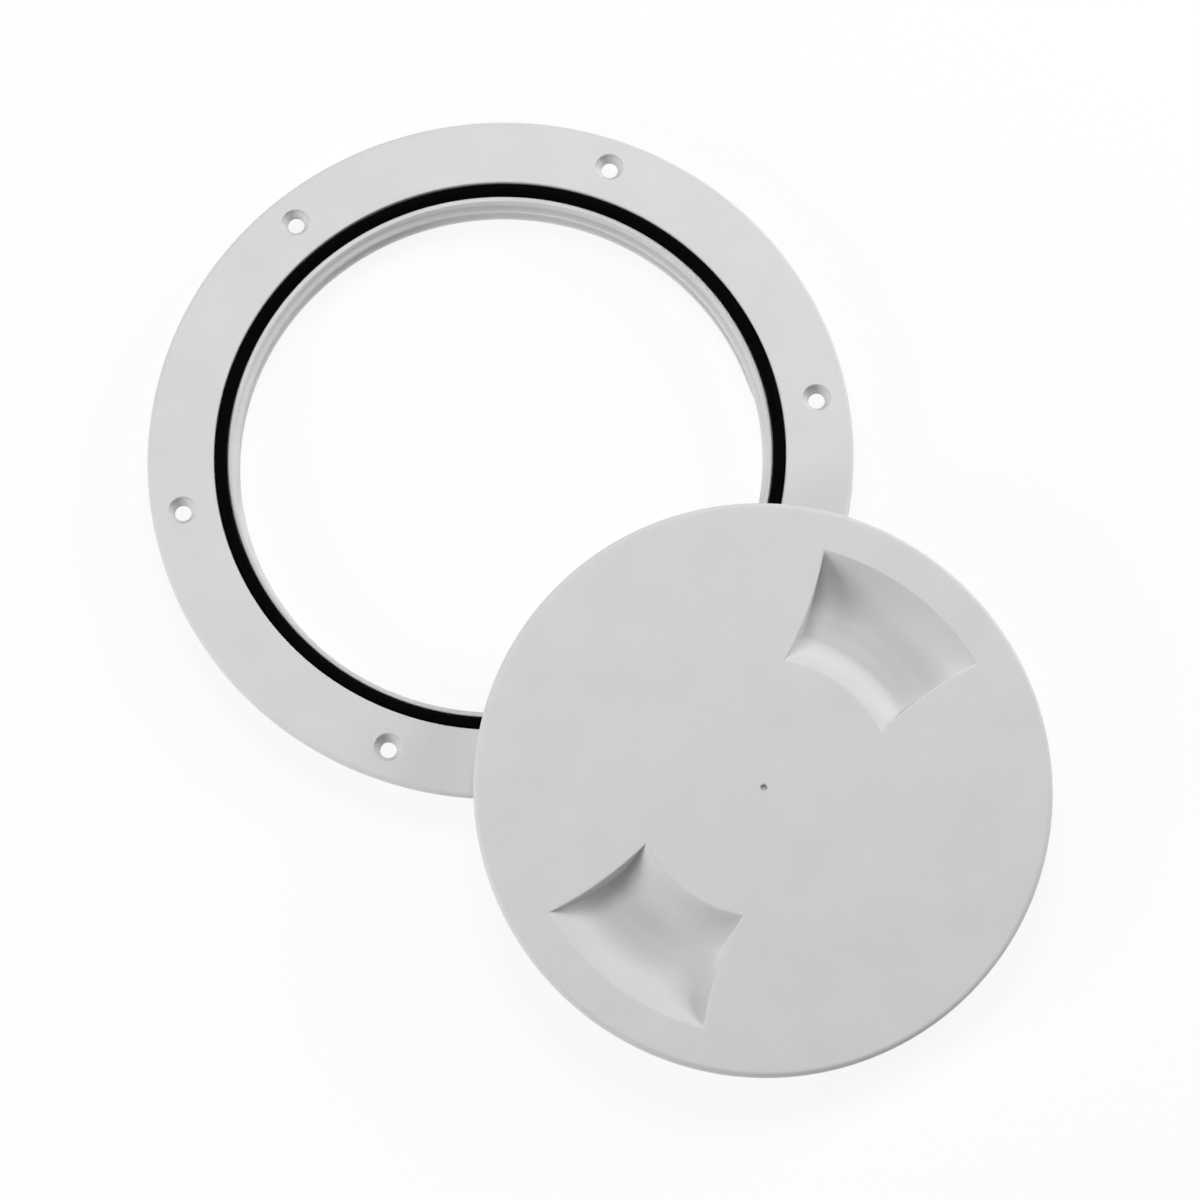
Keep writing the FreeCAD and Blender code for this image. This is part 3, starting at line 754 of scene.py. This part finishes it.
@dataclass(frozen=True)
class FingerRecess:
    """A finger recess in the lid's own frame, in millimetres, and the moulding under it.

    Its two arcs run about the lid's axis, their walls slope softly, and its two bowed ends are
    steep. A depth is given as a share of the full depth. The higher a wall's bend, the steeper
    it starts and the softer it runs out.
    """

    outer_radius: float
    inner_radius: float = 36.5
    inner_half: float = 16.8
    outer_half: float = 26.9
    end_radius: float = 105.0
    depth: float = 9.4
    inner_run: float = 10.5
    outer_run: float = 16.0
    inner_spread: float = 3.0
    outer_spread: float = 4.4
    end_run: float = 2.3
    inner_bend: float = 1.2
    outer_bend: float = 1.5
    end_bend: float = 0.5
    rim_round: float = 0.5
    rim_margin: float = 0.9
    floor_dish: float = 0.25
    wall: float = 2.2
    arc_steps: int = 44
    end_steps: int = 28
    levels: int = 30

    def end_points(self, near: np.ndarray, far: np.ndarray) -> np.ndarray:
        """Points of a bowed end between an inner and an outer corner."""
        chord = far - near
        length = float(np.linalg.norm(chord))
        along = chord / length
        inward = np.array((-along[1], along[0])) * -math.copysign(1.0, near[1])
        half = math.asin(length / 2 / self.end_radius)
        angles = np.linspace(-half, half, self.end_steps + 1)[:, None]
        rise = self.end_radius * (np.cos(angles) - math.cos(half))
        return (near + far) / 2 + along * self.end_radius * np.sin(angles) + inward * rise

    def sides(self, share: float, side_grow: float, end_grow: float) -> tuple:
        """Draw the outline at a depth.

        Args:
            share: The depth.
            side_grow: How far the two arcs are moved outwards.
            end_grow: How far the two ends are moved outwards.

        Returns:
            Points of the inner arc, the outer arc, and the ends at its lower and upper side.
        """
        soft = math.acos(1 - 2 * share) / math.pi
        inward = soft ** self.inner_bend
        outward = soft ** self.outer_bend
        endward = (1 - math.sqrt(1 - share * share)) ** self.end_bend
        inner = self.inner_radius + inward * self.inner_run - side_grow
        outer = self.outer_radius - outward * self.outer_run + side_grow
        end = end_grow - endward * self.end_run
        inner_half = math.asin((self.inner_half + inward * self.inner_spread + end) / inner)
        outer_half = math.asin((self.outer_half - outward * self.outer_spread + end) / outer)
        arcs = []
        for radius, half in ((inner, inner_half), (outer, outer_half)):
            angles = np.linspace(-half, half, self.arc_steps + 1)
            arcs.append(np.column_stack((np.cos(angles), np.sin(angles))) * radius)
        return (*arcs, self.end_points(arcs[0][0], arcs[1][0]),
                self.end_points(arcs[0][-1], arcs[1][-1]))

    def loop(self, height: float, turn: float, share: float, side_grow: float = 0.0,
             end_grow: float = 0.0) -> np.ndarray:
        """Draw the outline at a depth as one closed row of points.

        Args:
            height: The row's height.
            turn: The recess's place round the lid, as 1 or -1.
            share: The depth.
            side_grow: How far the two arcs are moved outwards.
            end_grow: How far the two ends are moved outwards.

        Returns:
            The points of the row.
        """
        inner, outer, low, high = self.sides(share, side_grow, end_grow)
        flat = np.vstack((inner[:-1], high[:-1], outer[:0:-1], low[:0:-1])) * turn
        return np.column_stack((flat, np.full(len(flat), height)))

    def fill_floor(self, draft: MeshDraft, turn: float, height: float, dish: float) -> None:
        """Close the lowest row by a floor that sinks a little towards its middle.

        Args:
            draft: The mesh that gets the faces.
            turn: The recess's place round the lid, as 1 or -1.
            height: The floor's height at its edge.
            dish: How far its middle lies lower.
        """
        inner, outer, low, high = self.sides(1.0, *self.floor_grow(dish))
        across = np.linspace(0.0, 1.0, self.arc_steps + 1)[:, None]
        rows = []
        for step in range(self.end_steps + 1):
            out = step / self.end_steps
            level = (1 - out) * inner + out * outer
            ends = (1 - across) * low[step] + across * high[step]
            twist = (1 - across) * level[0] + across * level[-1]
            sink = dish * (np.sin(math.pi * across) * math.sin(math.pi * out)) ** 2
            rows.append(draft.row(np.hstack(((level + ends - twist) * turn, height - sink))))
        for near, far in zip(rows, rows[1:]):
            draft.strip(near, far)

    def floor_grow(self, dish: float) -> tuple[float, float]:
        """Growth of the floor's outline: none above the wall, the wall's thickness below it."""
        return (0.0, 0.0) if dish else (self.wall, self.wall)

    def shares(self, first: float) -> np.ndarray:
        """Depths of the rows from a first one down, close together where the walls turn."""
        start = math.acos(1 - 2 * first)
        return (1 - np.cos(np.linspace(start, math.pi, self.levels + 1))) / 2

    def corner_growth(self, below: float) -> float:
        """How far the rounding of an edge reaches out at a distance below its face."""
        left = max(0.0, self.rim_round - below)
        return self.rim_round - math.sqrt(self.rim_round ** 2 - left ** 2)

    def dig(self, draft: MeshDraft, top: float, turn: float) -> list[int]:
        """Draw the hollow of the recess from the lid's top down.

        Args:
            draft: The mesh that gets the faces.
            top: Height of the lid's top.
            turn: The recess's place round the lid, as 1 or -1.

        Returns:
            The row in the lid's top that the recess is set in.
        """
        margin = draft.row(self.loop(top, turn, 0.0, self.rim_margin,
                                     self.rim_margin + self.rim_round))
        rows = [margin]
        for share in self.shares(0.0):
            below = share * self.depth
            rows.append(draft.row(self.loop(top - below, turn, share,
                                            end_grow=self.corner_growth(below))))
        draft.sleeve(rows)
        self.fill_floor(draft, turn, top - self.depth, self.floor_dish)
        return margin

    def hang(self, draft: MeshDraft, top: float, turn: float) -> list[int]:
        """Draw the moulding that holds the recess, from the lid's underside down.

        Args:
            draft: The mesh that gets the faces.
            top: Height of the lid's top above its underside.
            turn: The recess's place round the lid, as 1 or -1.

        Returns:
            The row in the lid's underside that the moulding hangs from.
        """
        first = (top - self.wall) / self.depth
        rows = []
        for share in self.shares(first):
            height = top - self.wall - share * self.depth
            growth = self.corner_growth(-height)
            rows.append(draft.row(self.loop(height, turn, share, self.wall, self.wall + growth)))
        draft.sleeve(rows)
        self.fill_floor(draft, turn, top - self.wall - self.depth, 0.0)
        return rows[0]


@dataclass(frozen=True)
class LidPlace:
    """How the lid lies: one edge on the ring, the other on what the ring stands on."""

    offset: float = 23.3
    lean_deg: float = 7.29
    bearing_deg: float = -63.7
    turn_deg: float = 106.9

    def matrix(self, ring: DeckRing, skirt_depth: float, contact: float) -> Matrix:
        """Work out the lid's place in metres.

        Args:
            ring: The ring that it leans on.
            skirt_depth: How far the lid's skirt reaches down.
            contact: Radius at which the skirt stands on its lower edge.

        Returns:
            The matrix from the lid's own frame.
        """
        lean = math.radians(self.lean_deg)
        along = ring.flange_radius + self.offset + math.sin(lean) * skirt_depth
        height = (contact * math.sin(lean) + math.cos(lean) * skirt_depth) - ring.neck_depth
        return (Matrix.Rotation(math.radians(self.bearing_deg), 4, "Z")
                @ Matrix.Translation(Vector((along, 0.0, height)) * MM)
                @ Matrix.Rotation(lean, 4, "Y")
                @ Matrix.Rotation(math.radians(self.turn_deg), 4, "Z"))


@dataclass(frozen=True)
class ScrewLid:
    """The screw-in lid with its two finger recesses, in millimetres in its own frame."""

    ring: DeckRing
    place: LidPlace
    plate: float = 3.4
    edge_round: float = 1.5
    rim_gap: float = 0.35
    thread_gap: float = 0.4
    thread_reach: float = 1.4
    thread_start: float = 2.2
    thread_turns: float = 1.25
    skirt_wall: float = 2.8
    skirt_depth: float = 12.5
    skirt_round: float = 0.5
    root_round: float = 0.8
    moulded_round: float = 0.25
    recess_distance: float = 4.4
    top_margin: float = 0.9
    gate_radii: tuple[float, ...] = (1.7, 1.15, 1.04, 1.0, 1.0, 0.85)
    gate_depths: tuple[float, ...] = (0.0, 0.0, 0.04, 0.15, 1.15, 1.3)
    gate_steps: int = 32
    columns: int = 360

    def skirt(self) -> float:
        """Outer radius of the skirt."""
        return self.ring.bore - self.thread_reach - self.thread_gap

    def section(self) -> list[tuple]:
        """Section from the top over the edge and the skirt to the underside."""
        edge = self.ring.seat - self.rim_gap
        outer = self.skirt()
        inner = outer - self.skirt_wall
        small = self.moulded_round
        return rounded([
            Corner(edge - self.edge_round - self.top_margin, self.plate),
            Corner(edge, self.plate, self.edge_round),
            Corner(edge, 0.0, small),
            Corner(outer, 0.0, small),
            Corner(outer, -self.skirt_depth, self.skirt_round),
            Corner(inner, -self.skirt_depth, small),
            Corner(inner, 0.0, self.root_round),
            Corner(inner - self.root_round - small / 2, 0.0),
        ], closed=False)

    def gate_mark(self, draft: MeshDraft) -> list[int]:
        """Draw the small mark where the plastic came in, and give the row that it is set in."""
        angles = np.linspace(0.0, math.tau, self.gate_steps, endpoint=False)
        rows = [draft.row([turned((radius, self.plate - depth), angle) for angle in angles])
                for radius, depth in zip(self.gate_radii, self.gate_depths)]
        draft.sleeve(rows)
        draft.faces.append(tuple(rows[-1]))
        return rows[0]

    def shell(self) -> bpy.types.Mesh:
        """Draw the lid without its thread."""
        draft = MeshDraft()
        angles = np.linspace(0.0, math.tau, self.columns, endpoint=False)
        rings = [draft.row([turned(point, angle) for angle in angles])
                 for point in self.section()]
        draft.sleeve(rings)
        recess = FingerRecess(outer_radius=self.skirt() - self.recess_distance)
        draft.sheet([rings[0], self.gate_mark(draft),
                     *(recess.dig(draft, self.plate, turn) for turn in (1, -1))])
        draft.sheet([rings[-1], *(recess.hang(draft, self.plate, turn) for turn in (1, -1))])
        return draft.mesh("lid_shell")

    def build(self, tree: bpy.types.NodeTree, plastic: bpy.types.Material) -> bpy.types.Object:
        """Make the lid, lay it on the ring and let it stand for its node.

        Args:
            tree: The tree that winds the thread.
            plastic: The lid's material.

        Returns:
            The lid.
        """
        thread = Thread(wall_radius=self.skirt(), reach=self.thread_reach,
                        start=self.thread_start - self.skirt_depth, turns=self.thread_turns)
        piece = grow("screw_lid", self.shell(), tree, {
            "Copies": 1, "Merge distance": MERGE_DISTANCE * MM,
            "Material": plastic, **thread.settings()})
        piece.data.transform(self.place.matrix(
            self.ring, self.skirt_depth, self.skirt() - self.skirt_round))
        settle(piece, "lid")
        return piece


@dataclass(frozen=True)
class Lamp:
    """A soft square lamp aimed at the plate, placed in degrees and metres."""

    name: str
    azimuth_deg: float
    elevation_deg: float
    watts: float
    size: float
    distance: float

    def build(self, aim: Vector) -> None:
        """Hang the lamp."""
        data = bpy.data.lights.new(self.name, "AREA")
        data.shape = "SQUARE"
        data.size = self.size
        data.energy = self.watts
        lamp = bpy.data.objects.new(self.name, data)
        turn = math.radians(self.azimuth_deg)
        rise = math.radians(self.elevation_deg)
        toward = Vector((math.cos(turn) * math.cos(rise), math.sin(turn) * math.cos(rise),
                         math.sin(rise)))
        lamp.location = aim + toward * self.distance
        lamp.rotation_euler = toward.to_track_quat("Z", "Y").to_euler()
        bpy.context.scene.collection.objects.link(lamp)


@dataclass(frozen=True)
class Studio:
    """White sheet under the plate, an even white surround and soft lamps."""

    lamps: tuple[Lamp, ...]
    surround: float = 0.17
    sheet_colour: str = "#ffffff"
    sheet_glow: float = 0.88
    sheet_half: float = 4.0

    def seen_share(self, tree: bpy.types.NodeTree) -> bpy.types.NodeSocket:
        """Tell whether a ray shows the white background: seen straight, mirrored or through."""
        path = add_node(tree, "ShaderNodeLightPath").outputs
        mirrored = add_node(tree, "ShaderNodeMath", {"operation": "MAXIMUM"}, {
            0: path["Is Glossy Ray"], 1: path["Is Transmission Ray"]})
        return add_node(tree, "ShaderNodeMath", {"operation": "MAXIMUM"}, {
            0: path["Is Camera Ray"], 1: mirrored.outputs[0]}).outputs[0]

    def light_surround(self) -> None:
        """Make the world: white where it is seen, and a softer level where it lights."""
        world = bpy.data.worlds.new("white_surround")
        world.use_nodes = True
        tree = world.node_tree
        tree.nodes.clear()
        strength = add_node(tree, "ShaderNodeMapRange", inputs={
            "Value": self.seen_share(tree), "To Min": self.surround, "To Max": 1.0})
        light = add_node(tree, "ShaderNodeBackground", inputs={
            "Color": (1.0, 1.0, 1.0, 1.0), "Strength": strength.outputs["Result"]})
        add_node(tree, "ShaderNodeOutputWorld", inputs={"Surface": light.outputs["Background"]})
        bpy.context.scene.world = world

    def sheet_material(self) -> bpy.types.Material:
        """Make the white paper: matt, and kept white to the eye but for a share of its shade."""
        material = bpy.data.materials.new("matt_white_paper")
        material.use_nodes = True
        tree = material.node_tree
        tree.nodes.clear()
        paper = add_node(tree, "ShaderNodeBsdfDiffuse", inputs={
            "Color": linear(self.sheet_colour)})
        glow = add_node(tree, "ShaderNodeEmission", inputs={"Strength": 1.0})
        share = add_node(tree, "ShaderNodeMath", {"operation": "MULTIPLY"}, {
            0: self.seen_share(tree), 1: self.sheet_glow})
        mix = add_node(tree, "ShaderNodeMixShader", inputs={
            0: share.outputs[0], 1: paper.outputs["BSDF"], 2: glow.outputs["Emission"]})
        add_node(tree, "ShaderNodeOutputMaterial", inputs={"Surface": mix.outputs["Shader"]})
        return material

    def build(self, ground: float) -> None:
        """Set up the sheet, the surround and the lamps.

        Args:
            ground: Height in metres of what the plate stands on.
        """
        half = self.sheet_half
        mesh = bpy.data.meshes.new("white_sheet")
        mesh.from_pydata([(x * half, y * half, ground) for x, y in
                          ((-1, -1), (1, -1), (1, 1), (-1, 1))], [], [(0, 1, 2, 3)])
        sheet = bpy.data.objects.new("white_sheet", mesh)
        mesh.materials.append(self.sheet_material())
        bpy.context.scene.collection.objects.link(sheet)
        sheet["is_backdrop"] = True
        self.light_surround()
        low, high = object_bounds()
        for lamp in self.lamps:
            lamp.build((low + high) / 2)


@dataclass(frozen=True)
class PhotoCamera:
    """Camera at the photograph's viewing angle, in millimetres and degrees.

    Its angles, distance and aim come from the outlines of the ring, the lid and the screw holes
    in the photograph. The lens is longer, so that the plate fills the picture.
    """

    distance: float = 2100.0
    tilt_deg: float = 16.18
    azimuth_deg: float = -5.18
    roll_deg: float = -5.12
    aim_right: float = 24.9
    aim_up: float = -43.3
    lens: float = 219.0

    def build(self) -> bpy.types.Object:
        """Set up the camera and make it the scene's."""
        tilt = math.radians(self.tilt_deg)
        right = Vector((1.0, 0.0, 0.0))
        up = Vector((0.0, math.cos(tilt), math.sin(tilt)))
        back = Vector((0.0, -math.sin(tilt), math.cos(tilt)))
        aim = right * self.aim_right + up * self.aim_up
        basis = Matrix((right, up, back)).transposed().to_4x4()
        data = bpy.data.cameras.new("photo_camera")
        data.lens = self.lens
        data.clip_end = 50.0
        camera = bpy.data.objects.new("photo_camera", data)
        camera.matrix_world = (Matrix.Rotation(math.radians(self.azimuth_deg), 4, "Z")
                               @ Matrix.Translation((aim + back * self.distance) * MM) @ basis
                               @ Matrix.Rotation(math.radians(self.roll_deg), 4, "Z"))
        bpy.context.scene.collection.objects.link(camera)
        bpy.context.scene.camera = camera
        return camera


def ring_from_frame() -> DeckRing:
    """Take the ring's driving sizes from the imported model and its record."""
    low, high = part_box("ring")
    mounts = {mount["name"]: mount for mount in frame["record"]["mounts"]}
    screws = mounts["screw_holes"]["dims"]
    hole = ScrewHole(circle=screws["pcd_mm"] / 2, radius=screws["hole_r_mm"])
    return DeckRing(flange_radius=high[0] / MM, neck_depth=-low[2] / MM, hole=hole,
                    hole_count=int(screws["count"]))


def main() -> None:
    """Dress the plate, light it and set up the camera."""
    logging.basicConfig(level=logging.INFO, format="%(name)s: %(message)s")
    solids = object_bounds()
    plastic = MouldedPlastic("injection_moulded_asa", pale="#d8d8d8", deep="#d2d2d2").material()
    rubber = SealRubber("moulded_black_epdm", colour="#030303", dusty="#080808").material()
    moulding = moulding_tree()
    ring = ring_from_frame()
    pieces = [
        ring.build(moulding, plastic),
        RubberSeal(ring).build(cord_tree(), rubber),
        ScrewLid(ring, LidPlace()).build(moulding, plastic),
    ]
    for piece in pieces:
        log.info("%s stands in its place", piece.name)
    Studio(lamps=(
        Lamp("top_lamp", azimuth_deg=82.0, elevation_deg=64.0, watts=5.9, size=0.5, distance=1.2),
        Lamp("right_lamp", azimuth_deg=22.0, elevation_deg=25.0, watts=7.2, size=0.5, distance=1.2),
        Lamp("left_lamp", azimuth_deg=195.0, elevation_deg=25.0, watts=7.4, size=0.5, distance=1.2),
    )).build(solids[0][2])
    PhotoCamera().build()
    bpy.context.scene.view_settings.view_transform = "Standard"


if __name__ == "__main__":
    main()
